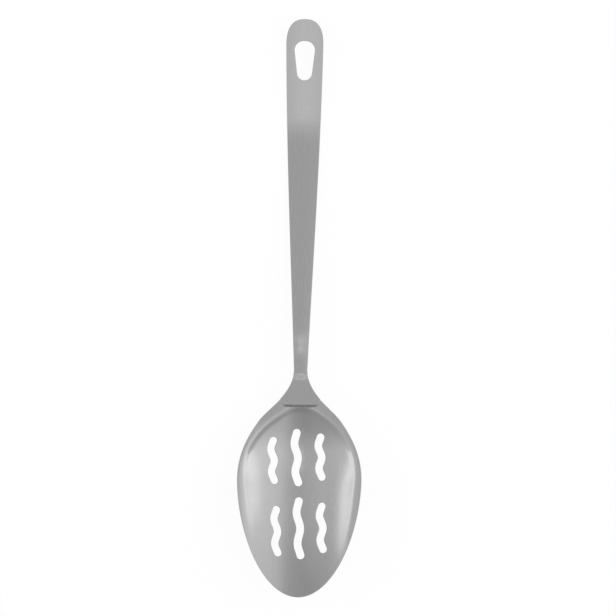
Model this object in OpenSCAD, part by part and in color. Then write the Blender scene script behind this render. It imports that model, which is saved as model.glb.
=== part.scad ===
// Slotted serving spoon: a pressed bowl with six wavy drain slots, spot welded under a strap handle.
// Each piece is drawn with the bowl's rim at z = 0 and the tip at y = 0, then laid as it rests on a table.

/* [Overall] */
// Length along the rim plane from the bowl's tip to the handle's end
spoon_length = 340.4; // [330:0.2:370]

/* [Bowl outline] */
// Width at the widest row
bowl_width = 73.2; // [68:0.2:78]
// Distance from the tip to the widest row
nose_length = 68.7; // [64:0.1:74]
// Roundness of the nose, where 2 is an ellipse
nose_power = 1.88; // [1.75:0.01:2.1]
// Half width at the shoulder, where the sides turn towards the neck
shoulder_half = 24.3; // [22.5:0.1:25.5]
// Distance from the widest row to the shoulder
shoulder_run = 34.7; // [33:0.1:37]
// Angle between the outline and the long axis at the shoulder
shoulder_angle = 34.8; // [30:0.2:38]
// Distance from the shoulder to the narrowest row of the neck
neck_run = 30.2; // [28:0.2:33]
// Width of the neck
neck_width = 8; // [7.5:0.1:9]

/* [Bowl dish] */
// Depth of the dish below the tab
bowl_depth = 12; // [10:0.5:15]
// Thickness of the bowl's sheet
bowl_sheet = 1.2; // [0.8:0.1:1.6]
// Width of the dish's form in front of the widest row
dish_width = 68.4; // [64:0.2:72]
// Width of the dish's form behind it, inside the lip
lip_dish_width = 60.8; // [57:0.2:63]
// Distance from the widest row to the front end of the dish's form
dish_front = 71.6; // [67:0.2:75]
// Distance from the widest row to the back end of the dish
dish_back = 42.2; // [40:0.2:44]
// Length over which the front of the dish passes into its back
floor_blend = 8; // [5:0.5:11]
// How much the dish narrows towards its back end
arch_narrowing = 0.5; // [0:0.05:0.8]
// Distance from the widest row to the middle of the change from rim to lip
lip_delay = 3; // [0:0.5:6]
// Length of that change
lip_blend = 30; // [22:1:36]
// Share of the dish over which the wall bends at the sides
side_round = 0.2; // [0.1:0.01:0.3]
// Share of the dish over which the wall bends into the lip
lip_round = 0.06; // [0.05:0.005:0.08]
// How flat the rim is at the sides, where 0 lets the wall run on to the edge
side_flatness = 0.5; // [0.2:0.05:0.8]
// Share of the dish that stays level between the wall and the lip's slope
lip_crest = 0.2; // [0.15:0.01:0.25]
// Drop of the lip over one share of the dish
lip_fall = 4; // [1:0.5:5]
// Length beside the tongue over which the lip levels out
lip_run = 14; // [10:0.5:18]

/* [Drain slots] */
// Width of each slot
slot_width = 4.5; // [3.5:0.1:5.5]
// Height of the wave to each side of a slot's axis
slot_wave = 0.9; // [0:0.1:1.5]
// Length of the middle slot in the front row
front_slot_length = 36.8; // [32:0.2:38]
// Length of the side slots in the front row
front_side_length = 30; // [26:0.2:32]
// Length of the middle slot in the back row
back_slot_length = 33.6; // [30:0.2:35]
// Length of the side slots in the back row
back_side_length = 27.7; // [24:0.2:29]
// Distance between neighbouring slots in the front row
front_slot_pitch = 13.3; // [11:0.1:14.5]
// Distance between neighbouring slots in the back row
back_slot_pitch = 13.9; // [11:0.1:14.5]
// Distance from the tip to the middle of the front row
front_row_reach = 41.5; // [40:0.5:43]
// Distance between the middles of the two rows
slot_row_gap = 41.5; // [40:0.5:43]
// How far the side slots sit towards the tip
side_slot_drop = 1; // [0:0.2:2]
// Turn of the whole pattern about the middle of the front row
slot_turn = 2.5; // [-3:0.1:3]

/* [Handle] */
// Thickness of the strap
strap_thickness = 2.2; // [1.8:0.1:3]
// Width of the strap at its wide end
strap_width = 21.9; // [20.5:0.1:24]
// How much the strap's sides swell between neck and wide end
strap_swell = 0.6; // [0:0.05:0.8]
// Length of the rounded end of the strap
end_round = 15.6; // [11:0.1:18]
// Squareness of the rounded end, where 2 is an ellipse
end_power = 2.45; // [2:0.05:3]
// Distance from the neck to the start of the step up
step_delay = 3; // [1:0.5:8]
// Steepest angle of the step up
step_angle = 12; // [6:1:18]
// Radius of the two bends of the step
step_radius = 43; // [30:1:60]
// Length of the raised end, from its bend to the tip of the handle
flick_length = 62; // [50:1:80]
// Angle by which the end is bent up
flick_angle = 11; // [9:0.5:16]
// Radius of that bend
flick_radius = 52; // [30:1:90]

/* [Tongue] */
// Thickness of the thinned tongue
tongue_thickness = 1.4; // [1.1:0.1:1.6]
// Width of the tongue, where the flare is wider
tongue_width = 24; // [22:0.5:26]
// Length of the bevel on the tongue's end
tongue_bevel = 1.5; // [0.8:0.1:2.5]
// Thickness left at the tongue's end
tongue_edge = 0.25; // [0.2:0.05:0.6]
// Gap between the back of the dish and the tongue's end
tongue_setback = 0.75; // [0.6:0.05:1.5]
// Length over which the tongue lies on the bowl's tab
tongue_lap = 14.5; // [13:0.5:16]
// Rounding of the tongue's two corners
tongue_corner = 5; // [3:0.5:5.5]
// Length over which the tongue thickens into the strap
tongue_ramp = 5; // [3:0.5:7]
// How much narrower the tab is than the tongue at the tab's end
tab_inset = 0.5; // [0.1:0.1:1]

/* [Hanging hole] */
// Distance from the end of the handle to the hole
hole_margin = 12.8; // [10:0.2:16]
// Length of the hole
hole_length = 23; // [18:0.5:28]
// Width of the hole at its wide end
hole_width = 11.8; // [11:0.2:13]
// Corner radius at the wide end
hole_corner = 4.6; // [4.5:0.1:5.4]
// Radius of the narrow end
hole_foot = 4.3; // [3.5:0.1:4.8]

/* [Spot welds] */
// Diameter of a weld nugget
weld_diameter = 4.5; // [3:0.1:5]
// Depth of a nugget in the tongue
weld_in_tongue = 0.8; // [0.4:0.1:1]
// Depth of a nugget in the tab
weld_in_tab = 0.6; // [0.3:0.1:0.7]
// Distance from the tongue's end to the two front nuggets
weld_setback = 5; // [4:0.5:6]
// Distance from the axis to each front nugget
weld_spread = 6.5; // [5:0.5:7]
// Distance from the front nuggets to the third
weld_row_gap = 5.2; // [5:0.2:6]

/* [Hidden] */

bowl_half = bowl_width / 2;
dish_half = dish_width / 2;
lip_dish_half = lip_dish_width / 2;
neck_half = neck_width / 2;
strap_half = strap_width / 2;
tongue_half = tongue_width / 2;

// Pull of the outline's curves, as shares of their runs
side_pull = 0.455 * shoulder_run;
shoulder_pull = 0.29 * shoulder_run;
flare_pull = 0.286 * neck_run;
neck_pull = 0.462 * neck_run;
outline_steps = 24;

shoulder_y = nose_length + shoulder_run;
neck_y = shoulder_y + neck_run;
shoulder_way = [-sin(shoulder_angle), cos(shoulder_angle)];
shoulder_point = [shoulder_half, shoulder_y];

function curve(a, b, c, d, t) =
    pow(1 - t, 3) * a + 3 * t * pow(1 - t, 2) * b + 3 * t * t * (1 - t) * c + pow(t, 3) * d;

// Points of the outline from the widest row to the neck, as half width and distance from the tip
side_points = [for (i = [0 : outline_steps]) curve(
    [bowl_half, nose_length], [bowl_half, nose_length + side_pull],
    shoulder_point - shoulder_pull * shoulder_way, shoulder_point, i / outline_steps)];
flare_points = [for (i = [1 : outline_steps]) curve(
    shoulder_point, shoulder_point + flare_pull * shoulder_way,
    [neck_half, neck_y - neck_pull], [neck_half, neck_y], i / outline_steps)];
half_by_y = [for (p = concat(side_points, flare_points)) [p[1], p[0]]];

function nose_half(y) = bowl_half * pow(1 - pow((nose_length - y) / nose_length, nose_power), 1 / nose_power);
function outline_half(y) = y < nose_length ? nose_half(y) : lookup(y, half_by_y);

// The tongue ends just behind the dish, on the flat tab
tongue_y = nose_length + dish_back * sqrt(1 + lip_round) + tongue_setback;
tab_end_y = tongue_y + tongue_lap;

// Height of the dish's top face, with u as the distance behind the widest row
slope_step = 0.01;
function smooth(t) = let (s = max(0, min(1, t))) s * s * (3 - 2 * s);
function back_share(u) = 0.5 + 0.5 * u / sqrt(u * u + floor_blend * floor_blend);
function lip_share(u) = smooth((u - lip_delay) / lip_blend + 0.5);

// 1 in the middle of the dish, 0 on its edge and less outside
function room(x, u) =
    let (
        back = back_share(u),
        across = pow(x / (dish_half + (lip_dish_half - dish_half) * lip_share(u)), 2),
        along = u * u * ((1 - back) / pow(dish_front, 2) + back / pow(dish_back, 2)))
    1 - across - along - arch_narrowing * back * across * along * along;

// A value with its negative part cut off by a rounded bend, which is tighter on the lip
function bent(value, share) =
    let (width = side_round + (lip_round - side_round) * share)
    value <= -width ? 0 : value >= width ? value : pow(value + width, 2) / (4 * width);
function wall_z(v, share) =
    let (flatness = side_flatness + (1 - side_flatness) * share)
    -bowl_depth * (v + (bent(v, share) - v) * flatness);
function lip_z(v, share, y) =
    -lip_fall * share * bent(-v - lip_crest, share) * smooth((tongue_y - y) / lip_run);
function top_z(x, y) =
    let (u = y - nose_length, share = lip_share(u), v = room(x, u))
    wall_z(v, share) + lip_z(v, share, y);
function slope_x(x, y) = (top_z(x + slope_step, y) - top_z(x - slope_step, y)) / (2 * slope_step);
function slope_y(x, y) = (top_z(x, y + slope_step) - top_z(x, y - slope_step)) / (2 * slope_step);
function under_z(x, y) =
    top_z(x, y) - bowl_sheet * sqrt(1 + pow(slope_x(x, y), 2) + pow(slope_y(x, y), 2));

// The tab narrows a little under the tongue
function tab_half(y) =
    outline_half(y) - tab_inset * max(0, y - tongue_y) / tongue_lap;

// Rows and columns of the bowl's faces
nose_rows = 16;
back_rows = 34;
columns = 30;
first_row_angle = 3;
column_sweep = 70;
row_y = concat(
    [for (i = [0 : nose_rows - 1])
        nose_length * (1 - cos(first_row_angle + (90 - first_row_angle) * i / nose_rows))],
    [for (i = [0 : back_rows]) nose_length + (tab_end_y - nose_length) * i / back_rows]);
last_row = len(row_y) - 1;
function column_x(y, j) = tab_half(y) * sin(column_sweep * (2 * j / columns - 1)) / sin(column_sweep);
row_points = columns + 1;
under_start = row_points * len(row_y);
top_points = [for (y = row_y) for (j = [0 : columns]) let (x = column_x(y, j)) [x, y, top_z(x, y)]];
under_points = [for (y = row_y) for (j = [0 : columns]) let (x = column_x(y, j)) [x, y, under_z(x, y)]];
function two_faces(a, b, c, d) = [[a, b, c], [a, c, d]];
grid_faces = [for (i = [0 : last_row - 1]) for (j = [0 : columns - 1]) let (a = i * row_points + j)
    for (f = concat(
        two_faces(a, a + row_points, a + row_points + 1, a + 1),
        two_faces(under_start + a, under_start + a + 1,
            under_start + a + row_points + 1, under_start + a + row_points))) f];
long_edge_faces = [for (i = [0 : last_row - 1]) let (a = i * row_points, b = a + columns)
    for (f = concat(
        two_faces(a, under_start + a, under_start + a + row_points, a + row_points),
        two_faces(b, b + row_points, under_start + b + row_points, under_start + b))) f];
end_edge_faces = [for (j = [0 : columns - 1]) let (a = j, b = last_row * row_points + j)
    for (f = concat(
        two_faces(a, a + 1, under_start + a + 1, under_start + a),
        two_faces(b, under_start + b, under_start + b + 1, b + 1))) f];

// Each slot as its side offset, its row's middle, and its length
slots = [
    [-front_slot_pitch, -side_slot_drop, front_side_length],
    [0, 0, front_slot_length],
    [front_slot_pitch, -side_slot_drop, front_side_length],
    [-back_slot_pitch, slot_row_gap - side_slot_drop, back_side_length],
    [0, slot_row_gap, back_slot_length],
    [back_slot_pitch, slot_row_gap - side_slot_drop, back_side_length]];
wave_crests = 3.5;
slot_steps = 28;
cut_over = 5;
function slot_axis(y, half_wave) = slot_wave * cos(180 * y / half_wave);
function slot_lean(y, half_wave) = atan(-slot_wave * sin(180 * y / half_wave) * PI / half_wave);
function slot_edge(length, side) = let (half_wave = (length - slot_width) / wave_crests)
    [for (i = [0 : slot_steps])
        let (y = half_wave * wave_crests * (i / slot_steps - 0.5), lean = slot_lean(y, half_wave))
        [slot_axis(y, half_wave) + side * slot_width / 2 * cos(lean), y - side * slot_width / 2 * sin(lean)]];

// Underside of the handle as distance from the tip, height and angle
bend_steps = 10;
step_y = neck_y + step_delay;
step_rise = 2 * step_radius * (1 - cos(step_angle));
step_reach = 2 * step_radius * sin(step_angle);
flick_y = spoon_length - flick_length;
flick_bend_reach = flick_radius * sin(flick_angle);
flick_bend_rise = flick_radius * (1 - cos(flick_angle));
end_over = 5;
function flick_z(y) = step_rise + flick_bend_rise + (y - flick_y - flick_bend_reach) * tan(flick_angle);
step_path = concat(
    [for (i = [0 : bend_steps]) let (a = step_angle * i / bend_steps)
        [step_y + step_radius * sin(a), step_radius * (1 - cos(a)), a]],
    [for (i = [1 : bend_steps]) let (a = step_angle * (1 - i / bend_steps))
        [step_y + step_reach - step_radius * sin(a), step_rise - step_radius * (1 - cos(a)), a]]);
flick_path = [for (i = [0 : bend_steps]) let (a = flick_angle * i / bend_steps)
    [flick_y + flick_radius * sin(a), step_rise + flick_radius * (1 - cos(a)), a]];
end_path = [[spoon_length + end_over, flick_z(spoon_length + end_over), flick_angle]];
strap_path = concat(step_path, flick_path, end_path);
strap_under = [for (p = strap_path) [p[0], p[1]]];
strap_top = [for (p = strap_path)
    [p[0] - strap_thickness * sin(p[2]), p[1] + strap_thickness * cos(p[2])]];
tongue_under = [[tongue_y, 0]];
tongue_top = [[tongue_y, tongue_edge], [tongue_y + tongue_bevel, tongue_thickness],
    [tab_end_y, tongue_thickness], [tab_end_y + tongue_ramp, strap_thickness]];
function backwards(list) = [for (i = [len(list) - 1 : -1 : 0]) list[i]];

// Plan of the handle: rounded tongue, neck, swelling strap and round end
strap_steps = 28;
corner_steps = 8;
round_steps = 24;
swell_power = 1.73;
end_round_y = spoon_length - end_round;
function strap_share(y) = (y - neck_y) / (end_round_y - neck_y);
function strap_half_at(y) = let (t = strap_share(y))
    neck_half + (strap_half - neck_half) * (t + strap_swell * pow(t, swell_power) * (1 - t));
function corner_cut(y) = let (k = max(0, 1 - (y - tongue_y) / tongue_corner))
    tongue_corner * (1 - sqrt(1 - k * k));
tongue_plan = concat(
    [for (i = [0 : corner_steps]) let (y = tongue_y + tongue_corner * (1 - cos(90 * i / corner_steps)))
        [min(outline_half(y), tongue_half) - corner_cut(y), y]],
    [for (p = flare_points) if (p[1] > tongue_y + tongue_corner + 0.3) [min(p[0], tongue_half), p[1]]]);
strap_plan = [for (i = [1 : strap_steps]) let (y = neck_y + (end_round_y - neck_y) * i / strap_steps)
    [strap_half_at(y), y]];
round_plan = [for (i = [1 : round_steps]) let (a = 90 * i / round_steps)
    [strap_half * pow(cos(a), 2 / end_power), end_round_y + end_round * pow(sin(a), 2 / end_power)]];
right_plan = concat(tongue_plan, strap_plan, round_plan);
left_plan = [for (p = backwards(right_plan)) if (p[0] > 0.01) [-p[0], p[1]]];

// Hanging hole: two corner circles, one foot circle and the sides that touch them
hole_corner_x = hole_width / 2 - hole_corner;
hole_corner_y = spoon_length - hole_margin - hole_corner;
hole_foot_y = spoon_length - hole_margin - hole_length + hole_foot;
hole_way = [-hole_corner_x, hole_foot_y - hole_corner_y];
hole_lean = atan2(hole_way[1], hole_way[0]) + acos((hole_corner - hole_foot) / norm(hole_way));
hole_side = [cos(hole_lean), sin(hole_lean)];
hole_high = [hole_corner_x, hole_corner_y] + hole_corner * hole_side;
hole_low = [0, hole_foot_y] + hole_foot * hole_side;

weld_places = [
    [-weld_spread, tongue_y + weld_setback],
    [weld_spread, tongue_y + weld_setback],
    [0, tongue_y + weld_setback + weld_row_gap]];

// Resting pose: the line that touches the bowl's keel and the handle's underside from below
keel = [for (y = row_y) [y, under_z(0, y)]];
rest_slope = max([for (p = keel) min([for (q = strap_under) (q[1] - p[1]) / (q[0] - p[0])])]);
rest_tilt = atan(rest_slope);
function rest_y(y, z) = y * cos(rest_tilt) + z * sin(rest_tilt);
function rest_z(y, z) = z * cos(rest_tilt) - y * sin(rest_tilt);
floor_z = min([for (p = keel) rest_z(p[0], p[1])]);
tip_y = rest_y(row_y[0], under_z(0, row_y[0]));
end_y = rest_y(spoon_length, flick_z(spoon_length) + strap_thickness / cos(flick_angle));
middle_y = (tip_y + end_y) / 2;

module laid_down() {
    translate([0, -middle_y, -floor_z]) rotate([-rest_tilt, 0, 0]) children();
}

module slot_plan(length) {
    half_line = (length - slot_width) / 2;
    half_wave = (length - slot_width) / wave_crests;
    polygon(concat(slot_edge(length, 1), backwards(slot_edge(length, -1))));
    for (end = [-1, 1])
        translate([slot_axis(half_line, half_wave), end * half_line]) circle(d = slot_width, $fn = 48);
}

module slot_pattern() {
    translate([0, front_row_reach, 0]) rotate([0, 0, slot_turn])
        for (s = slots) translate([s[0], s[1], 0]) slot_plan(s[2]);
}

module hole_plan() {
    for (side = [-1, 1]) translate([side * hole_corner_x, hole_corner_y]) circle(r = hole_corner, $fn = 96);
    translate([0, hole_foot_y]) circle(r = hole_foot, $fn = 96);
    polygon([hole_low, hole_high, [hole_corner_x, hole_corner_y + hole_corner],
        [-hole_corner_x, hole_corner_y + hole_corner],
        [-hole_high[0], hole_high[1]], [-hole_low[0], hole_low[1]]]);
}

module weld_nuggets() {
    for (p = weld_places) translate([p[0], p[1], -weld_in_tab])
        cylinder(d = weld_diameter, h = weld_in_tab + weld_in_tongue, $fn = 64);
}

module bowl() {
    color([0.72, 0.72, 0.72]) laid_down() difference() {
        polyhedron(points = concat(top_points, under_points),
            faces = concat(grid_faces, long_edge_faces, end_edge_faces), convexity = 6);
        translate([0, 0, -bowl_depth - cut_over]) linear_extrude(height = bowl_depth + 2 * cut_over)
            slot_pattern();
        weld_nuggets();
    }
}

module handle() {
    color([0.74, 0.74, 0.74]) laid_down() difference() {
        intersection() {
            translate([0, 0, -cut_over]) linear_extrude(height = 60) polygon(concat(right_plan, left_plan));
            rotate([90, 0, 90]) linear_extrude(height = 60, center = true)
                polygon(concat(tongue_under, strap_under, backwards(strap_top), backwards(tongue_top)));
        }
        translate([0, 0, -cut_over]) linear_extrude(height = 60) hole_plan();
        weld_nuggets();
    }
}

module spot_welds() {
    color([0.6, 0.6, 0.62]) laid_down() weld_nuggets();
}

bowl();
handle();
spot_welds();
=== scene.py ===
"""Slotted serving spoon: a pressed bowl with wavy drain slots, spot welded under a strap handle."""

import logging
import math
from collections.abc import Callable
from dataclasses import dataclass, field
from enum import Enum

import bpy
import numpy as np
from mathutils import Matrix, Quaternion, Vector
from mathutils.geometry import delaunay_2d_cdt

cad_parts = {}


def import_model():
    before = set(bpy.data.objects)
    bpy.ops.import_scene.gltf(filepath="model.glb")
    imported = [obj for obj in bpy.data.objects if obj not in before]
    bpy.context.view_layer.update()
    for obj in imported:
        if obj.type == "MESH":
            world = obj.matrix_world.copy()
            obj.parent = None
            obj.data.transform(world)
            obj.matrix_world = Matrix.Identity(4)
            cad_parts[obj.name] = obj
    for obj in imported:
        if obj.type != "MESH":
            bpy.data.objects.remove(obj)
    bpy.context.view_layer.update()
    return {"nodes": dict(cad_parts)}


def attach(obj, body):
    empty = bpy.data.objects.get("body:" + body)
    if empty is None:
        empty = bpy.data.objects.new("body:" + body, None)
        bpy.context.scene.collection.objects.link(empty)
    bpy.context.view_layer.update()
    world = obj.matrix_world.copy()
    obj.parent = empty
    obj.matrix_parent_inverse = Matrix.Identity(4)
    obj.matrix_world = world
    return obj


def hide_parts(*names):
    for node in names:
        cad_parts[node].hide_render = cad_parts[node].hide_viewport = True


LOG = logging.getLogger("spoon")
MM = 0.001
PHOTO_PIXELS = 616
LEAST_POINTS = 8
HeightField = Callable[[np.ndarray, np.ndarray], np.ndarray]


class BrushWay(Enum):
    """Direction in which a surface was brushed, as the size of one streak in mm along X, Y and Z."""

    LENGTHWISE = (0.3, 45.0, 0.6)
    SATIN = (0.5, 18.0, 0.5)


class Ray(Enum):
    """Outputs of the Light Path node for which the floor shows as plain white."""

    CAMERA = "Is Camera Ray"
    GLOSSY = "Is Glossy Ray"
    TRANSMISSION = "Is Transmission Ray"


def cubic(ends: list[np.ndarray], share: np.ndarray) -> np.ndarray:
    """Sample a cubic curve.

    Args:
        ends: The start, two pull points and the end, each as (x, y).
        share: Places along the curve from 0 to 1.

    Returns:
        One (x, y) row for each place.
    """
    t = share[:, None]
    start, leave, arrive, end = ends
    return (1 - t) ** 3 * start + 3 * t * (1 - t) ** 2 * leave + 3 * t**2 * (1 - t) * arrive + t**3 * end


def evenly(points: np.ndarray, step: float) -> np.ndarray:
    """Space the points of a closed loop evenly.

    Args:
        points: Corner points of the loop, without the first repeated at the end.
        step: Wanted distance between neighbours, in mm.

    Returns:
        New points along the same loop.
    """
    closed = np.vstack([points, points[:1]])
    along = np.concatenate([[0.0], np.cumsum(np.linalg.norm(np.diff(closed, axis=0), axis=1))])
    count = max(LEAST_POINTS, round(along[-1] / step))
    places = np.linspace(0.0, along[-1], count, endpoint=False)
    return np.column_stack([np.interp(places, along, closed[:, axis]) for axis in (0, 1)])


def inside(loop: np.ndarray, places: np.ndarray) -> np.ndarray:
    """Tell which places lie inside a closed loop.

    Args:
        loop: Points of the loop.
        places: Points to test.

    Returns:
        One truth value for each place.
    """
    hit = np.zeros(len(places), dtype=bool)
    for here, there in zip(loop, np.roll(loop, -1, axis=0), strict=True):
        spans = (here[1] > places[:, 1]) != (there[1] > places[:, 1])
        rise = there[1] - here[1] if there[1] != here[1] else 1.0
        crossing = here[0] + (places[:, 1] - here[1]) * (there[0] - here[0]) / rise
        hit ^= spans & (places[:, 0] < crossing)
    return hit


def smooth(way: np.ndarray) -> np.ndarray:
    """Ease from 0 to 1, and keep these values outside."""
    share = np.clip(way, 0.0, 1.0)
    return share * share * (3 - 2 * share)


def slopes(height: HeightField, x: np.ndarray, y: np.ndarray, step: float) -> tuple[np.ndarray, np.ndarray]:
    """Measure how steep a height field is.

    Args:
        height: The height field.
        x: Distances from the axis.
        y: Distances from the tip.
        step: How far to either side heights are compared, in mm.

    Returns:
        The slopes along X and along Y.
    """
    along_x = (height(x + step, y) - height(x - step, y)) / (2 * step)
    along_y = (height(x, y + step) - height(x, y - step)) / (2 * step)
    return along_x, along_y


@dataclass(frozen=True)
class SpoonPlan:
    """Outline that bowl and handle share, in mm from the bowl's tip along the axis."""

    bowl_width: float = 73.4
    nose_length: float = 69.0
    nose_across: float = 1.97
    nose_along: float = 1.79
    shoulder_half: float = 24.3
    shoulder_run: float = 34.7
    shoulder_angle: float = 34.8
    neck_run: float = 30.2
    neck_width: float = 8.0
    side_pull: float = 0.455
    shoulder_pull: float = 0.29
    flare_pull: float = 0.286
    neck_pull: float = 0.462
    samples: int = 120

    @property
    def neck_y(self) -> float:
        """Distance from the tip to the narrowest row."""
        return self.nose_length + self.shoulder_run + self.neck_run

    def side(self) -> np.ndarray:
        """Sample the right side from the widest row to the neck.

        Returns:
            Rows of half width and distance from the tip.
        """
        half = self.bowl_width / 2
        angle = math.radians(self.shoulder_angle)
        way = np.array([-math.sin(angle), math.cos(angle)])
        shoulder = np.array([self.shoulder_half, self.nose_length + self.shoulder_run])
        neck = np.array([self.neck_width / 2, self.neck_y])
        widest = np.array([half, self.nose_length])
        share = np.linspace(0.0, 1.0, self.samples)
        belly = [widest, widest + [0.0, self.side_pull * self.shoulder_run],
                 shoulder - self.shoulder_pull * self.shoulder_run * way, shoulder]
        flare = [shoulder, shoulder + self.flare_pull * self.neck_run * way,
                 neck - [0.0, self.neck_pull * self.neck_run], neck]
        return np.vstack([cubic(belly, share), cubic(flare, share)[1:]])

    def half_width(self, y: np.ndarray) -> np.ndarray:
        """Give the half width of the outline.

        Args:
            y: Distances from the tip.

        Returns:
            One half width for each distance.
        """
        side = self.side()
        back = np.clip((self.nose_length - y) / self.nose_length, 0.0, 1.0)
        nose = self.bowl_width / 2 * (1 - back**self.nose_along) ** (1 / self.nose_across)
        return np.where(y < self.nose_length, nose, np.interp(y, side[:, 1], side[:, 0]))


@dataclass(frozen=True)
class Dish:
    """Pressed form of the bowl: floor, wall and rounded lip, in mm with the tab at height 0."""

    plan: SpoonPlan
    depth: float = 12.0
    sheet: float = 1.2
    front_half: float = 33.0
    back_half: float = 34.6
    front: float = 71.9
    back: float = 40.0
    peak: float = 0.2
    peak_half: float = 12.0
    blend: float = 8.0
    lip_middle: float = 3.0
    lip_blend: float = 30.0
    side_round: float = 0.13
    back_round: float = 0.07
    side_flatness: float = 0.75
    rim_middle: float = -40.0
    rim_blend: float = 40.0
    step_drop: float = 0.62
    step_width: float = 0.2
    step_middle: float = 14.0
    step_blend: float = 16.0
    lip_crest: float = 0.02
    lip_rise: float = 2.0
    lip_start: float = 112.0
    lip_run: float = 14.0
    slope_step: float = 0.01

    def _behind(self, y: np.ndarray, middle: float, blend: float) -> np.ndarray:
        """Rise smoothly from 0 to 1 over a stretch behind the widest row.

        Args:
            y: Distances from the tip.
            middle: Where it is half way, from the widest row.
            blend: Length of the stretch.

        Returns:
            One value for each distance.
        """
        return smooth((y - self.plan.nose_length - middle) / blend + 0.5)

    def _lip_share(self, y: np.ndarray) -> np.ndarray:
        """Tell how far the rim has turned into the lip behind the widest row, from 0 to 1."""
        return self._behind(y, self.lip_middle, self.lip_blend)

    def room(self, x: np.ndarray, y: np.ndarray) -> np.ndarray:
        """Tell how far inside the dish's edge a place lies.

        Args:
            x: Distances from the axis.
            y: Distances from the tip.

        Returns:
            1 in the middle of the dish, 0 on its edge and less outside.
        """
        u = y - self.plan.nose_length
        share = 0.5 + 0.5 * u / np.sqrt(u * u + self.blend**2)
        across = (x / (self.front_half + (self.back_half - self.front_half) * self._lip_share(y))) ** 2
        pointed = 1 + self.peak * np.exp(-((x / self.peak_half) ** 2))
        along = u * u * ((1 - share) / self.front**2 + share / (self.back**2 * pointed))
        return 1 - across - along

    def _soft(self, value: np.ndarray, share: np.ndarray) -> np.ndarray:
        """Cut off the negative parts of a value, with a rounded bend where it starts to rise above 0.

        Args:
            value: The value.
            share: How far the rim has turned into the lip; the bend gets tighter with it.

        Returns:
            The value where it is well above 0, and 0 where it is well below.
        """
        width = self.side_round + (self.back_round - self.side_round) * share
        rounded = (value + width) ** 2 / (4 * width)
        return np.where(value <= -width, 0.0, np.where(value >= width, value, rounded))

    def top(self, x: np.ndarray, y: np.ndarray) -> np.ndarray:
        """Height of the sheet's upper face.

        Args:
            x: Distances from the axis.
            y: Distances from the tip.

        Returns:
            Heights, 0 on the tab and a little more on the lip and on the sides' rim.
        """
        room = self.room(x, y)
        share = self._lip_share(y)
        beside = smooth((self.lip_start - y) / self.lip_run)
        lip = self.lip_rise * self._soft(-room - self.lip_crest, share) * beside
        step = self.step_drop * (np.clip(room, 0.0, 1.0) - smooth(room / self.step_width))
        step = step * self._behind(y, self.step_middle, self.step_blend)
        rim = self._behind(y, self.rim_middle, self.rim_blend)
        flatness = self.side_flatness * rim + (1 - self.side_flatness) * share
        wall = -self.depth * (room + (self._soft(room, share) - room) * flatness)
        return wall + lip * share + step

    def under(self, x: np.ndarray, y: np.ndarray) -> np.ndarray:
        """Height of the sheet's lower face."""
        slope_x, slope_y = slopes(self.top, x, y, self.slope_step)
        return self.top(x, y) - self.sheet * np.sqrt(1 + slope_x**2 + slope_y**2)

    def square_lean(self, places: np.ndarray) -> np.ndarray:
        """Tell how far a cut square to the sheet moves sideways from its upper to its lower face."""
        slope = np.column_stack(slopes(self.top, places[:, 0], places[:, 1], self.slope_step))
        return self.sheet * slope / np.sqrt(1 + (slope**2).sum(axis=1))[:, None]

    @property
    def keel_end(self) -> float:
        """Distance from the tip to where the keel ends, just short of the tab."""
        return self.plan.nose_length + self.back * math.sqrt(1 + self.back_round)


@dataclass(frozen=True)
class RestPose:
    """How the spoon lies on a table: turned about X, then moved so that its footprint is centred."""

    tilt: float
    floor: float
    middle: float

    def lay(self, points: np.ndarray) -> np.ndarray:
        """Move points from the press frame to the part's frame.

        Args:
            points: Rows of x, y, z in mm with the tab at height 0.

        Returns:
            Rows of x, y, z in metres.
        """
        moved = self.turn(points)
        moved[:, 1] -= self.middle
        moved[:, 2] -= self.floor
        return moved * MM

    def turn(self, ways: np.ndarray) -> np.ndarray:
        """Turn directions or points from the press frame to the part's frame.

        Args:
            ways: Rows of x, y, z.

        Returns:
            The turned rows.
        """
        c, s = math.cos(self.tilt), math.sin(self.tilt)
        x, y, z = ways.T
        return np.column_stack([x, y * c + z * s, z * c - y * s])


@dataclass
class EdgeLoop:
    """One closed edge of a sheet, with the metal on the left of its points, and its rounding in mm."""

    points: np.ndarray
    top_round: np.ndarray
    under_round: np.ndarray
    lean: np.ndarray | float = 0.0
    corner_limit: float = 0.6

    def inward(self) -> np.ndarray:
        """Find the way into the metal.

        Returns:
            One vector for each point, lengthened at corners so that an offset stays even.
        """
        ahead = np.roll(self.points, -1, axis=0) - self.points
        ahead /= np.linalg.norm(ahead, axis=1)[:, None]
        left = np.column_stack([-ahead[:, 1], ahead[:, 0]])
        mean = left + np.roll(left, 1, axis=0)
        mean /= np.linalg.norm(mean, axis=1)[:, None]
        return mean / np.clip((mean * left).sum(axis=1), self.corner_limit, 1.0)[:, None]

    def top_ring(self, inset: float = 1.0) -> np.ndarray:
        """Give the edge's plan on the upper face, set back by a share of the rounding."""
        return self.points + self.inward() * (inset * self.top_round)[:, None]

    def under_ring(self, inset: float = 1.0) -> np.ndarray:
        """Give the edge's plan on the lower face, set back by a share of the rounding."""
        return self.points + self.lean + self.inward() * (inset * self.under_round)[:, None]


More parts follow.
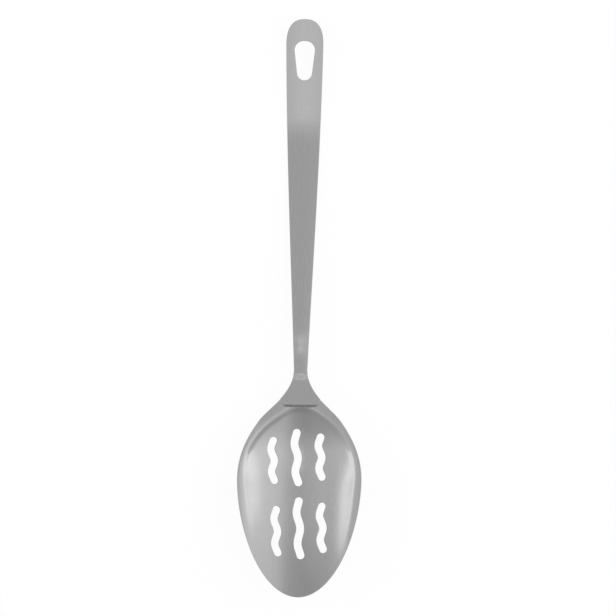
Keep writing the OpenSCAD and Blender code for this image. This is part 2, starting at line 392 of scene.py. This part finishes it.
@dataclass
class SheetMesh:
    """Closed mesh of a formed sheet: two faces over a plan with holes, and rounded edges."""

    top: HeightField
    under: HeightField
    loops: list[EdgeLoop]
    spacing: float
    pose: RestPose
    round_steps: int = 4
    slope_step: float = 0.05
    edge_gap: float = 0.6
    merge_distance: float = 1e-6
    vertices: list[np.ndarray] = field(default_factory=list)
    normals: list[np.ndarray] = field(default_factory=list)
    faces: list[tuple[int, ...]] = field(default_factory=list)

    def _normal(self, height: HeightField, places: np.ndarray, up: float) -> np.ndarray:
        """Give unit normals of a height field.

        Args:
            height: The face's height field.
            places: Plan points.
            up: 1 for the upper face and -1 for the lower one.

        Returns:
            One unit vector for each place.
        """
        slope_x, slope_y = slopes(height, places[:, 0], places[:, 1], self.slope_step)
        way = np.column_stack([-slope_x, -slope_y, np.ones_like(slope_x)])
        return up * way / np.linalg.norm(way, axis=1)[:, None]

    def _add(self, points: np.ndarray, normals: np.ndarray) -> int:
        """Add vertices to the mesh.

        Args:
            points: Their places in the press frame.
            normals: Their unit normals.

        Returns:
            The index of the first.
        """
        first = sum(len(block) for block in self.vertices)
        self.vertices.append(points)
        self.normals.append(normals)
        return first

    def _inner_points(self, rings: list[np.ndarray]) -> np.ndarray:
        """Lay a staggered grid of points over the plan.

        Args:
            rings: The outline and the holes.

        Returns:
            Points inside the outline, outside the holes and clear of both.
        """
        low, high = rings[0].min(axis=0), rings[0].max(axis=0)
        row_gap = self.spacing * math.sqrt(3) / 2
        rows = []
        for i, y in enumerate(np.arange(low[1] + row_gap / 2, high[1], row_gap)):
            stagger = 0.25 + 0.5 * (i % 2)
            x = np.arange(low[0] + self.spacing * stagger, high[0], self.spacing)
            rows.append(np.column_stack([x, np.full(len(x), y)]))
        grid = np.vstack(rows)
        keep = inside(rings[0], grid)
        for hole in rings[1:]:
            keep &= ~inside(hole, grid)
        grid = grid[keep]
        edge = np.vstack(rings)
        gaps = [np.linalg.norm(edge - place, axis=1).min() for place in grid]
        return grid[np.array(gaps) > self.edge_gap * self.spacing]

    def _face(self, height: HeightField, rings: list[np.ndarray], up: float) -> list[int]:
        """Fill one face of the sheet with triangles.

        Args:
            height: The face's height field.
            rings: Plan points of each loop where the face meets its edge rounding.
            up: 1 for the upper face and -1 for the lower one.

        Returns:
            The index of the first vertex of each ring.
        """
        places = np.vstack([*rings, self._inner_points(rings)])
        first = self._add(np.column_stack([places, height(places[:, 0], places[:, 1])]),
                          self._normal(height, places, up))
        starts, edges, count = [], [], 0
        for ring in rings:
            starts.append(first + count)
            edges += [(count + i, count + (i + 1) % len(ring)) for i in range(len(ring))]
            count += len(ring)
        filled_inside = 1
        made = delaunay_2d_cdt([tuple(p) for p in places], edges, [], filled_inside, self.merge_distance)
        source = [origin[0] for origin in made[3]]
        triangles = np.array([[source[i] for i in face] for face in made[2]])
        corner = places[triangles]
        centres = corner.mean(axis=1)
        keep = inside(rings[0], centres)
        for ring in rings[1:]:
            keep &= ~inside(ring, centres)
        turn = np.cross(corner[:, 1] - corner[:, 0], corner[:, 2] - corner[:, 0])
        for face, sense in zip(triangles[keep] + first, turn[keep] * up, strict=True):
            self.faces.append(tuple(int(i) for i in (face if sense > 0 else face[::-1])))
        return starts

    def _edge(self, loop: EdgeLoop, top_start: int, under_start: int) -> None:
        """Close one loop with a rounded edge between the two faces.

        Args:
            loop: The loop to close.
            top_start: First vertex of the loop's ring on the upper face.
            under_start: First vertex of the loop's ring on the lower face.
        """
        count = len(loop.points)
        inward = loop.inward()
        out = np.column_stack([-inward / np.linalg.norm(inward, axis=1)[:, None], np.zeros(count)])
        starts = [top_start]
        steps = range(1, self.round_steps + 1)
        turns = [(1.0, self.top, loop.top_ring, loop.top_round, step) for step in steps]
        turns += [(-1.0, self.under, loop.under_ring, loop.under_round, step) for step in reversed(steps)]
        for up, height, ring, radius, step in turns:
            angle = step / self.round_steps * math.pi / 2
            places = ring(1 - math.sin(angle))
            z = height(places[:, 0], places[:, 1]) - up * radius * (1 - math.cos(angle))
            way = math.cos(angle) * self._normal(height, places, up) + math.sin(angle) * out
            way /= np.linalg.norm(way, axis=1)[:, None]
            starts.append(self._add(np.column_stack([places, z]), way))
        starts.append(under_start)
        for upper, lower in zip(starts, starts[1:], strict=False):
            for i in range(count):
                j = (i + 1) % count
                self.faces.append((upper + i, lower + i, lower + j, upper + j))

    def build(self, name: str) -> bpy.types.Object:
        """Make the mesh object.

        Args:
            name: Name of the new object.

        Returns:
            The object, linked to the scene, in the part's frame.
        """
        top_starts = self._face(self.top, [loop.top_ring() for loop in self.loops], 1.0)
        under_starts = self._face(self.under, [loop.under_ring() for loop in self.loops], -1.0)
        for loop, top_start, under_start in zip(self.loops, top_starts, under_starts, strict=True):
            self._edge(loop, top_start, under_start)
        points = np.vstack(self.vertices)
        mesh = bpy.data.meshes.new(name)
        mesh.from_pydata(self.pose.lay(points).tolist(), [], self.faces)
        mesh.shade_smooth()
        plan = mesh.uv_layers.new(name="plan")
        corner = np.empty(len(mesh.loops), dtype=np.int32)
        mesh.loops.foreach_get("vertex_index", corner)
        plan.data.foreach_set("uv", (points[corner, :2] * MM).astype(np.float32).ravel())
        mesh.normals_split_custom_set_from_vertices(self.pose.turn(np.vstack(self.normals)).tolist())
        piece = bpy.data.objects.new(name, mesh)
        bpy.context.scene.collection.objects.link(piece)
        return piece


@dataclass(frozen=True)
class BrushedSteel:
    """Stainless steel with fine brushing, as a procedural material."""

    name: str
    way: BrushWay
    colour: tuple[float, float, float, float] = (0.6, 0.6, 0.6, 1.0)
    streak_tone: float = 0.05
    roughness: float = 0.3
    roughness_spread: float = 0.06
    streak_height: float = 0.000004
    streak_strength: float = 0.3
    noise_detail: float = 5.0
    noise_roughness: float = 0.6
    noise_span: tuple[float, float] = (0.25, 0.75)
    anisotropy: float = 0.4

    def _follow(self, nodes: bpy.types.Nodes, middle: float, spread: float) -> bpy.types.Node:
        """Make a node that turns the streaks into values on both sides of a middle one.

        Args:
            nodes: Nodes to add it to.
            middle: The middle value.
            spread: How far the values go to either side.

        Returns:
            The node.
        """
        span = nodes.new("ShaderNodeMapRange")
        span.inputs["From Min"].default_value = self.noise_span[0]
        span.inputs["From Max"].default_value = self.noise_span[1]
        span.inputs["To Min"].default_value = middle - spread
        span.inputs["To Max"].default_value = middle + spread
        return span

    def material(self) -> bpy.types.Material:
        """Make the material.

        Returns:
            A metal whose tone, gloss and relief follow the brushing.
        """
        made = bpy.data.materials.new(self.name)
        made.use_nodes = True
        nodes, links = made.node_tree.nodes, made.node_tree.links
        shader = nodes["Principled BSDF"]
        shader.inputs["Metallic"].default_value = 1.0
        shader.inputs["Anisotropic"].default_value = self.anisotropy
        place = nodes.new("ShaderNodeTexCoord")
        stretch = nodes.new("ShaderNodeMapping")
        stretch.inputs["Scale"].default_value = [1 / (size * MM) for size in self.way.value]
        streaks = nodes.new("ShaderNodeTexNoise")
        streaks.inputs["Scale"].default_value = 1.0
        streaks.inputs["Detail"].default_value = self.noise_detail
        streaks.inputs["Roughness"].default_value = self.noise_roughness
        tone = self._follow(nodes, 1.0, self.streak_tone)
        tint = nodes.new("ShaderNodeVectorMath")
        tint.operation = "SCALE"
        tint.inputs[0].default_value = self.colour[:3]
        gloss = self._follow(nodes, self.roughness, self.roughness_spread)
        relief = nodes.new("ShaderNodeBump")
        relief.inputs["Strength"].default_value = self.streak_strength
        relief.inputs["Distance"].default_value = self.streak_height
        grain = nodes.new("ShaderNodeTangent")
        grain.direction_type = "UV_MAP"
        grain.uv_map = "plan"
        links.new(place.outputs["Object"], stretch.inputs["Vector"])
        links.new(stretch.outputs["Vector"], streaks.inputs["Vector"])
        links.new(streaks.outputs["Fac"], tone.inputs["Value"])
        links.new(tone.outputs["Result"], tint.inputs["Scale"])
        links.new(tint.outputs["Vector"], shader.inputs["Base Color"])
        links.new(streaks.outputs["Fac"], gloss.inputs["Value"])
        links.new(gloss.outputs["Result"], shader.inputs["Roughness"])
        links.new(streaks.outputs["Fac"], relief.inputs["Height"])
        links.new(relief.outputs["Normal"], shader.inputs["Normal"])
        links.new(grain.outputs["Tangent"], shader.inputs["Tangent"])
        return made


@dataclass(frozen=True)
class SlotRow:
    """Three drain slots side by side, in mm."""

    reach: float
    pitch: float
    middle_length: float
    side_length: float


@dataclass(frozen=True)
class Bowl:
    """Pressed bowl: dished shell, lip, six wavy drain slots and the tab under the handle's tongue."""

    plan: SpoonPlan
    dish: Dish
    pose: RestPose
    finish: BrushedSteel
    rows: tuple[SlotRow, SlotRow] = (SlotRow(41.1, 13.3, 36.8, 30.0), SlotRow(82.8, 13.9, 33.6, 27.7))
    slot_width: float = 4.5
    slot_wave: float = 0.9
    wave_crests: float = 3.5
    side_drop: float = 0.8
    row_lean: float = 0.56
    pattern_turn: float = 2.5
    tab_start: float = 112.0
    tab_length: float = 15.5
    tab_inset: float = 0.5
    rim_round: float = 0.3
    slot_round: float = 0.2
    spacing: float = 1.1
    rim_step: float = 1.0
    slot_step: float = 0.6
    nose_samples: int = 240
    side_samples: int = 200
    slot_samples: int = 90
    cap_samples: int = 24

    def outline(self) -> EdgeLoop:
        """Trace the bowl's rim and tab.

        Returns:
            The bowl's outer edge.
        """
        angle = np.linspace(0.0, math.pi / 2, self.nose_samples)
        nose_y = self.plan.nose_length * (1 - np.cos(angle))
        end = self.tab_start + self.tab_length
        y = np.concatenate([nose_y, np.linspace(self.plan.nose_length, end, self.side_samples)[1:]])
        inset = self.tab_inset * np.clip((y - self.tab_start) / self.tab_length, 0.0, None)
        right = np.column_stack([self.plan.half_width(y) - inset, y])
        points = evenly(np.vstack([right, (right * [-1.0, 1.0])[:0:-1]]), self.rim_step)
        radius = np.full(len(points), self.rim_round)
        return EdgeLoop(points, radius, radius)

    def slot(self, place: tuple[float, float], length: float) -> EdgeLoop:
        """Trace one wavy slot.

        Args:
            place: Its middle before the pattern is turned, from the middle of the front row.
            length: Its length from end to end.

        Returns:
            The slot's edge.
        """
        half_line = (length - self.slot_width) / 2
        half_wave = (length - self.slot_width) / self.wave_crests
        y = np.linspace(-half_line, half_line, self.slot_samples)
        axis = np.column_stack([self.slot_wave * np.cos(math.pi * y / half_wave), y])
        lean = np.arctan(-self.slot_wave * math.pi / half_wave * np.sin(math.pi * y / half_wave))
        side = np.column_stack([np.cos(lean), -np.sin(lean)]) * self.slot_width / 2
        arc = np.linspace(0.0, math.pi, self.cap_samples)[1:-1]
        far_cap = np.column_stack([np.cos(arc - lean[-1]), np.sin(arc - lean[-1])]) * self.slot_width / 2
        near_cap = np.column_stack([np.cos(arc - lean[0]), np.sin(arc - lean[0])]) * self.slot_width / 2
        loop = np.vstack([axis + side, axis[-1] + far_cap, (axis - side)[::-1], axis[0] - near_cap]) + place
        turn = math.radians(self.pattern_turn)
        turned = loop @ np.array([[math.cos(turn), math.sin(turn)], [-math.sin(turn), math.cos(turn)]])
        points = evenly(turned + [0.0, self.rows[0].reach], self.slot_step)[::-1]
        radius = np.full(len(points), self.slot_round)
        return EdgeLoop(points, radius, radius, self.dish.square_lean(points))

    def slots(self) -> list[EdgeLoop]:
        """Trace all six slots.

        Returns:
            The slots' edges, row by row.
        """
        made = []
        for row in self.rows:
            rise = row.reach - self.rows[0].reach
            made.append(self.slot((-row.pitch, rise - self.side_drop - self.row_lean), row.side_length))
            made.append(self.slot((0.0, rise), row.middle_length))
            made.append(self.slot((row.pitch, rise - self.side_drop + self.row_lean), row.side_length))
        return made

    def build(self) -> bpy.types.Object:
        """Make the bowl and put it in the CAD bowl's place.

        Returns:
            The bowl.
        """
        loops = [self.outline(), *self.slots()]
        sheet = SheetMesh(self.dish.top, self.dish.under, loops, self.spacing, self.pose)
        piece = sheet.build("spoon_bowl")
        piece.data.materials.append(self.finish.material())
        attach(piece, "root")
        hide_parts("bowl")
        return piece


@dataclass(frozen=True)
class StrapHandle:
    """Tapered strap: thinned tongue on the tab, neck, step, flat middle and raised end with its hole."""

    plan: SpoonPlan
    finish: BrushedSteel
    length: float = 340.3
    thickness: float = 2.2
    width: float = 21.9
    swell: float = 0.6
    swell_power: float = 1.73
    end_round: float = 15.2
    end_power: float = 2.5
    step_delay: float = 6.0
    step_angle: float = 12.0
    step_radius: float = 43.0
    flick_length: float = 75.0
    flick_angle: float = 10.4
    flick_radius: float = 115.0
    tongue_start: float = 112.0
    tongue_width: float = 24.0
    tongue_thickness: float = 1.4
    tongue_lap: float = 15.5
    tongue_corner: float = 5.0
    tongue_ramp: float = 5.0
    tongue_bevel: float = 1.5
    bevel_drop: float = 1.15
    hole_margin: float = 12.6
    hole_length: float = 23.0
    hole_width: float = 11.9
    hole_corner: float = 5.4
    hole_foot: float = 4.4
    crown: float = 0.4
    edge_round: float = 0.25
    under_round: float = 0.3
    tongue_round: float = 0.1
    path_lead: float = 5.0
    spacing: float = 0.9
    edge_step: float = 0.9
    hole_step: float = 0.6
    bend_samples: int = 50
    corner_samples: int = 20
    side_samples: int = 300
    end_samples: int = 60
    hole_samples: int = 40

    @property
    def step_rise(self) -> float:
        """Height that the step lifts the strap."""
        return 2 * self.step_radius * (1 - math.cos(math.radians(self.step_angle)))

    def path(self) -> np.ndarray:
        """Follow the strap's underside.

        Returns:
            Rows of distance from the tip, height and angle in radians.
        """
        step_y = self.plan.neck_y + self.step_delay
        step = math.radians(self.step_angle)
        reach = 2 * self.step_radius * math.sin(step)
        rise = self.step_rise
        up = np.linspace(0.0, step, self.bend_samples)
        down = up[::-1][1:]
        first = np.column_stack([step_y + self.step_radius * np.sin(up),
                                 self.step_radius * (1 - np.cos(up)), up])
        second = np.column_stack([step_y + reach - self.step_radius * np.sin(down),
                                  rise - self.step_radius * (1 - np.cos(down)), down])
        flick_y = self.length - self.flick_length
        bend = np.linspace(0.0, math.radians(self.flick_angle), self.bend_samples)
        third = np.column_stack([flick_y + self.flick_radius * np.sin(bend),
                                 rise + self.flick_radius * (1 - np.cos(bend)), bend])
        end = third[-1] + [self.flick_length, self.flick_length * math.tan(bend[-1]), 0.0]
        start = np.array([[self.tongue_start - self.path_lead, 0.0, 0.0]])
        return np.vstack([start, first, second, third, end])

    def under(self, x: np.ndarray, y: np.ndarray) -> np.ndarray:
        """Height of the strap's lower face."""
        path = self.path()
        return np.interp(y, path[:, 0], path[:, 1]) + np.zeros_like(x)

    def top(self, x: np.ndarray, y: np.ndarray) -> np.ndarray:
        """Height of the strap's upper face.

        Args:
            x: Distances from the axis.
            y: Distances from the tip.

        Returns:
            Heights, a little lower towards the long edges.
        """
        path = self.path()
        upper_y = path[:, 0] - self.thickness * np.sin(path[:, 2])
        upper_z = path[:, 1] + self.thickness * np.cos(path[:, 2])
        ramp = np.clip((y - self.tongue_start - self.tongue_lap) / self.tongue_ramp, 0.0, 1.0)
        thinned = (self.thickness - self.tongue_thickness) * (1 - smooth(ramp))
        across = np.clip(np.abs(x) / self.half_width(y), 0.0, 1.0)
        bevel = self.bevel_drop * np.clip(1 - (y - self.tongue_start) / self.tongue_bevel, 0.0, 1.0)
        return np.interp(y, upper_y, upper_z) - thinned - self.crown * ramp * across**2 - bevel

    def half_width(self, y: np.ndarray) -> np.ndarray:
        """Give the strap's half width, without its round end.

        Args:
            y: Distances from the tip.

        Returns:
            One half width for each distance.
        """
        neck = self.plan.neck_width / 2
        taper = self.length - self.end_round - self.plan.neck_y
        share = np.clip((y - self.plan.neck_y) / taper, 0.0, 1.0)
        swelling = self.swell * share**self.swell_power * (1 - share)
        strap = neck + (self.width / 2 - neck) * (share + swelling)
        tongue = np.minimum(self.plan.half_width(y), self.tongue_width / 2)
        return np.where(y < self.plan.neck_y, tongue, strap)

    def outline(self) -> EdgeLoop:
        """Trace the tongue, the neck, the strap and its round end.

        Returns:
            The handle's outer edge.
        """
        corner = np.linspace(0.0, math.pi / 2, self.corner_samples)
        corner_y = self.tongue_start + self.tongue_corner * (1 - np.cos(corner))
        cut = self.tongue_corner * (1 - np.sin(corner))
        right = [np.column_stack([self.half_width(corner_y) - cut, corner_y])]
        end_y = self.length - self.end_round
        y = np.linspace(self.tongue_start + self.tongue_corner, end_y, self.side_samples)[1:]
        right.append(np.column_stack([self.half_width(y), y]))
        turn = np.linspace(0.0, math.pi / 2, self.end_samples)[1:]
        right.append(np.column_stack([self.width / 2 * np.cos(turn) ** (2 / self.end_power),
                                      end_y + self.end_round * np.sin(turn) ** (2 / self.end_power)]))
        side = np.vstack(right)
        points = evenly(np.vstack([side, (side * [-1.0, 1.0])[-2::-1]]), self.edge_step)
        near_end = np.clip((points[:, 1] - self.tongue_start) / self.tongue_corner, 0.0, 1.0)
        top_round = self.tongue_round + (self.edge_round - self.tongue_round) * near_end
        under_round = self.tongue_round + (self.under_round - self.tongue_round) * near_end
        return EdgeLoop(points, top_round, under_round)

    def hole(self) -> EdgeLoop:
        """Trace the hanging hole.

        Returns:
            Its edge: two corner arcs, straight sides and the foot arc.
        """
        corner = np.array([self.hole_width / 2 - self.hole_corner,
                           self.length - self.hole_margin - self.hole_corner])
        foot = np.array([0.0, self.length - self.hole_margin - self.hole_length + self.hole_foot])
        way = foot - corner
        opening = math.acos((self.hole_corner - self.hole_foot) / np.linalg.norm(way))
        lean = math.atan2(way[1], way[0]) + opening
        high = np.linspace(lean, math.pi / 2, self.hole_samples)
        low = np.linspace(-math.pi / 2, lean, self.hole_samples)
        right = np.vstack([foot + self.hole_foot * np.column_stack([np.cos(low), np.sin(low)]),
                           corner + self.hole_corner * np.column_stack([np.cos(high), np.sin(high)])])
        points = evenly(np.vstack([right, (right * [-1.0, 1.0])[:0:-1]]), self.hole_step)[::-1]
        radius = np.full(len(points), self.edge_round)
        return EdgeLoop(points, radius, radius)

    def build(self, pose: RestPose) -> bpy.types.Object:
        """Make the handle and put it in the CAD handle's place.

        Args:
            pose: How the spoon lies.

        Returns:
            The handle.
        """
        sheet = SheetMesh(self.top, self.under, [self.outline(), self.hole()], self.spacing, pose)
        piece = sheet.build("spoon_handle")
        piece.data.materials.append(self.finish.material())
        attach(piece, "root")
        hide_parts("handle")
        return piece


def resting(dish: Dish, handle: StrapHandle) -> RestPose:
    """Find how the spoon lies on a flat table.

    Args:
        dish: The bowl's form.
        handle: The handle.

    Returns:
        The pose in which the bowl's keel and the handle's bend both touch the table.
    """
    keel_start = 0.1
    keel_samples = 600
    keel_y = np.linspace(keel_start, dish.keel_end, keel_samples)
    keel_z = dish.under(np.zeros_like(keel_y), keel_y)
    path = handle.path()
    rises = (path[None, 1:, 1] - keel_z[:, None]) / (path[None, 1:, 0] - keel_y[:, None])
    tilt = math.atan(rises.min(axis=1).max())
    c, s = math.cos(tilt), math.sin(tilt)
    floor = float((keel_z * c - keel_y * s).min())
    end_z = float(np.interp(handle.length, path[:, 0], path[:, 1]))
    end_z += handle.thickness / math.cos(math.radians(handle.flick_angle))
    tip = keel_y[0] * c + keel_z[0] * s
    return RestPose(tilt, floor, (tip + handle.length * c + end_z * s) / 2)


@dataclass(frozen=True)
class PhotoCamera:
    """Camera straight above the spoon, far off with a long lens."""

    height: float = 4.0
    millimetres_per_pixel: float = 0.5908
    roll: float = 0.74
    shift_right: float = 6.54
    shift_up: float = -0.1
    sensor: float = 36.0
    reach: float = 20.0

    def build(self) -> None:
        """Make the camera and use it for the render."""
        lens = bpy.data.cameras.new("photo_camera")
        lens.sensor_width = self.sensor
        lens.lens = self.sensor * self.height / (PHOTO_PIXELS * self.millimetres_per_pixel * MM)
        lens.clip_end = self.reach
        camera = bpy.data.objects.new("photo_camera", lens)
        roll = math.radians(self.roll)
        side = self.shift_right * self.millimetres_per_pixel * MM
        rise = self.shift_up * self.millimetres_per_pixel * MM
        camera.location = (side * math.cos(roll) - rise * math.sin(roll),
                           side * math.sin(roll) + rise * math.cos(roll), self.height)
        camera.rotation_euler = (0.0, 0.0, roll)
        bpy.context.scene.collection.objects.link(camera)
        bpy.context.scene.camera = camera


@dataclass(frozen=True)
class Softbox:
    """One oval lamp that faces a point on the table."""

    name: str
    place: tuple[float, float, float]
    target: tuple[float, float, float]
    size: tuple[float, float]
    brightness: float
    spread: float = 180.0
    turn: float = 0.0

    def build(self) -> None:
        """Hang the lamp; its power follows from its brightness and its area."""
        lamp = bpy.data.lights.new(self.name, "AREA")
        lamp.shape = "ELLIPSE"
        lamp.size, lamp.size_y = self.size
        area = math.pi / 4 * self.size[0] * self.size[1]
        lamp.energy = self.brightness * math.pi * area
        lamp.spread = math.radians(self.spread)
        holder = bpy.data.objects.new(self.name, lamp)
        holder.location = self.place
        way = Vector(self.target) - Vector(self.place)
        spin = Quaternion((0.0, 0.0, 1.0), math.radians(self.turn))
        holder.rotation_euler = (way.to_track_quat("-Z", "Y") @ spin).to_euler()
        bpy.context.scene.collection.objects.link(holder)


@dataclass(frozen=True)
class Studio:
    """White table under a soft studio sky."""

    boxes: tuple[Softbox, ...] = (
        Softbox("left_softbox", (-1.01, -0.12, 0.48), (0.0, -0.5, 0.0), (0.86, 0.24), 0.58, turn=-8.0),
        Softbox("right_softbox", (1.0, -0.1, 0.46), (0.0, -0.1, 0.0), (0.62, 0.24), 0.54),
        Softbox("right_fill", (0.92, -0.1, 0.62), (0.0, -0.1, 0.0), (0.54, 0.2), 0.34),
        Softbox("high_softbox", (-0.4, 0.15, 1.0), (0.0, -0.1, 0.0), (0.8, 0.6), 0.06),
        Softbox("end_softbox", (0.0, -0.05, 1.0), (0.0, 0.14, 0.0), (0.5, 0.3), 0.0115, 22.0),
        Softbox("neck_softbox", (0.0, -0.26, 1.0), (0.0, -0.02, 0.0), (0.3, 0.12), 0.0036, 6.0),
    )
    floor_size: float = 24.0
    floor_drop: float = 0.0002
    floor_grey: float = 0.8
    floor_glow: float = 0.9
    shadow_grey: float = 0.16
    shade_way: tuple[float, float, float] = (-0.4, 0.6, 1.0)
    shade_span: tuple[float, float] = (-0.7, 0.15)
    shade_tone: float = 0.5
    side_tones: tuple[tuple[float, float], ...] = (
        (0.0, 0.08), (0.04, 0.19), (0.075, 0.17), (0.15, 0.1), (0.25, 0.06), (0.33, 0.02), (0.41, 0.0),
        (0.5, 0.03), (0.58, 0.05), (0.65, 0.1), (0.72, 0.25), (0.79, 0.3), (0.85, 0.32), (0.92, 0.29),
        (0.955, 0.18), (1.0, 0.04))
    long_tones: tuple[tuple[float, float], ...] = (
        (0.0, 0.3), (0.03, 0.32), (0.1, 0.36), (0.22, 0.41), (0.31, 0.54), (0.37, 0.585), (0.42, 0.575),
        (0.5, 0.545), (0.595, 0.51), (0.66, 0.5), (0.72, 0.45), (0.78, 0.425), (0.9, 0.42), (1.0, 0.45))

    def _ramp(self, nodes: bpy.types.Nodes, tones: tuple[tuple[float, float], ...]) -> bpy.types.Node:
        """Make a smooth ramp of greys.

        Args:
            nodes: Nodes to add it to.
            tones: Pairs of place and grey.

        Returns:
            The ramp node.
        """
        ramp = nodes.new("ShaderNodeFloatCurve")
        curve = ramp.mapping.curves[0]
        for place, tone in tones[1:-1]:
            curve.points.new(place, tone)
        curve.points[0].location = tones[0]
        curve.points[-1].location = tones[-1]
        ramp.mapping.update()
        return ramp

    def sky(self) -> None:
        """Make the sky: brighter to both sides, darker at both ends, darkest low at the front right."""
        world = bpy.data.worlds.new("studio_sky")
        world.use_nodes = True
        nodes, links = world.node_tree.nodes, world.node_tree.links
        way = nodes.new("ShaderNodeTexCoord")
        parts = nodes.new("ShaderNodeSeparateXYZ")
        total = nodes.new("ShaderNodeMath")
        total.operation = "ADD"
        facing = nodes.new("ShaderNodeVectorMath")
        facing.operation = "DOT_PRODUCT"
        facing.inputs[1].default_value = self.shade_way
        shade = nodes.new("ShaderNodeMapRange")
        shade.interpolation_type = "SMOOTHSTEP"
        shade.inputs["From Min"].default_value = self.shade_span[0]
        shade.inputs["From Max"].default_value = self.shade_span[1]
        shade.inputs["To Min"].default_value = self.shade_tone
        strength = nodes.new("ShaderNodeMath")
        strength.operation = "MULTIPLY"
        links.new(way.outputs["Generated"], parts.inputs["Vector"])
        links.new(way.outputs["Generated"], facing.inputs[0])
        links.new(facing.outputs["Value"], shade.inputs["Value"])
        links.new(shade.outputs["Result"], strength.inputs[1])
        for axis, tones, socket in (("X", self.side_tones, 0), ("Y", self.long_tones, 1)):
            span = nodes.new("ShaderNodeMapRange")
            span.inputs["From Min"].default_value = -1.0
            ramp = self._ramp(nodes, tones)
            links.new(parts.outputs[axis], span.inputs["Value"])
            links.new(span.outputs["Result"], ramp.inputs["Value"])
            links.new(ramp.outputs["Value"], total.inputs[socket])
        links.new(total.outputs["Value"], strength.inputs[0])
        links.new(strength.outputs["Value"], nodes["Background"].inputs["Strength"])
        nodes["Background"].inputs["Color"].default_value = (1.0, 1.0, 1.0, 1.0)
        bpy.context.scene.world = world

    def floor(self) -> None:
        """Make the white table, which keeps a faint shadow."""
        half = self.floor_size / 2
        mesh = bpy.data.meshes.new("table")
        corners = [(-half, -half, 0), (half, -half, 0), (half, half, 0), (-half, half, 0)]
        mesh.from_pydata(corners, [], [(0, 1, 2, 3)])
        table = bpy.data.objects.new("table", mesh)
        table.location.z = -self.floor_drop
        bpy.context.scene.collection.objects.link(table)
        mesh.materials.append(self._table_paint())

    def _table_paint(self) -> bpy.types.Material:
        """Make the table's material.

        Returns:
            A white that stays white to the lens and in the steel, apart from the shadow.
        """
        paint = bpy.data.materials.new("table_white")
        paint.use_nodes = True
        nodes, links = paint.node_tree.nodes, paint.node_tree.links
        nodes.remove(nodes["Principled BSDF"])
        plain = nodes.new("ShaderNodeBsdfDiffuse")
        plain.inputs["Color"].default_value = (self.floor_grey, self.floor_grey, self.floor_grey, 1.0)
        shade = nodes.new("ShaderNodeBsdfDiffuse")
        shade.inputs["Color"].default_value = (self.shadow_grey, self.shadow_grey, self.shadow_grey, 1.0)
        glow = nodes.new("ShaderNodeEmission")
        glow.inputs["Strength"].default_value = self.floor_glow
        white = nodes.new("ShaderNodeAddShader")
        seen = nodes.new("ShaderNodeLightPath")
        either = nodes.new("ShaderNodeMath")
        either.operation = "ADD"
        any_ray = nodes.new("ShaderNodeMath")
        any_ray.operation = "ADD"
        any_ray.use_clamp = True
        mix = nodes.new("ShaderNodeMixShader")
        links.new(seen.outputs[Ray.CAMERA.value], either.inputs[0])
        links.new(seen.outputs[Ray.GLOSSY.value], either.inputs[1])
        links.new(either.outputs["Value"], any_ray.inputs[0])
        links.new(seen.outputs[Ray.TRANSMISSION.value], any_ray.inputs[1])
        links.new(glow.outputs["Emission"], white.inputs[0])
        links.new(shade.outputs["BSDF"], white.inputs[1])
        links.new(any_ray.outputs["Value"], mix.inputs["Fac"])
        links.new(plain.outputs["BSDF"], mix.inputs[1])
        links.new(white.outputs["Shader"], mix.inputs[2])
        links.new(mix.outputs["Shader"], nodes["Material Output"].inputs["Surface"])
        return paint

    def softboxes(self) -> None:
        """Hang the softboxes."""
        for box in self.boxes:
            box.build()

    def build(self) -> None:
        """Make the table, the sky and the softboxes."""
        self.floor()
        self.sky()
        self.softboxes()
        bpy.context.scene.view_settings.view_transform = "Standard"


def main() -> None:
    """Build the spoon, its table, its light and its camera."""
    logging.basicConfig(level=logging.INFO, format="%(name)s: %(message)s")
    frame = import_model()
    PhotoCamera().build()
    Studio().build()
    plan = SpoonPlan()
    dish = Dish(plan)
    strap_steel = BrushedSteel("handle_steel_brushed", BrushWay.LENGTHWISE,
                               colour=(0.548, 0.548, 0.548, 1.0))
    bowl_steel = BrushedSteel("bowl_steel_satin", BrushWay.SATIN, roughness=0.2)
    weld_steel = BrushedSteel("weld_steel", BrushWay.SATIN, colour=(0.5, 0.5, 0.5, 1.0))
    handle = StrapHandle(plan, strap_steel)
    pose = resting(dish, handle)
    bowl = Bowl(plan, dish, pose, bowl_steel)
    for piece in (bowl.build(), handle.build(pose)):
        LOG.info("%s: %d faces", piece.name, len(piece.data.polygons))
    welds = frame["nodes"]["spot_welds"]
    welds.data.materials.clear()
    welds.data.materials.append(weld_steel.material())
    LOG.info("%s: CAD solids dressed", welds.name)


if __name__ == "__main__":
    main()
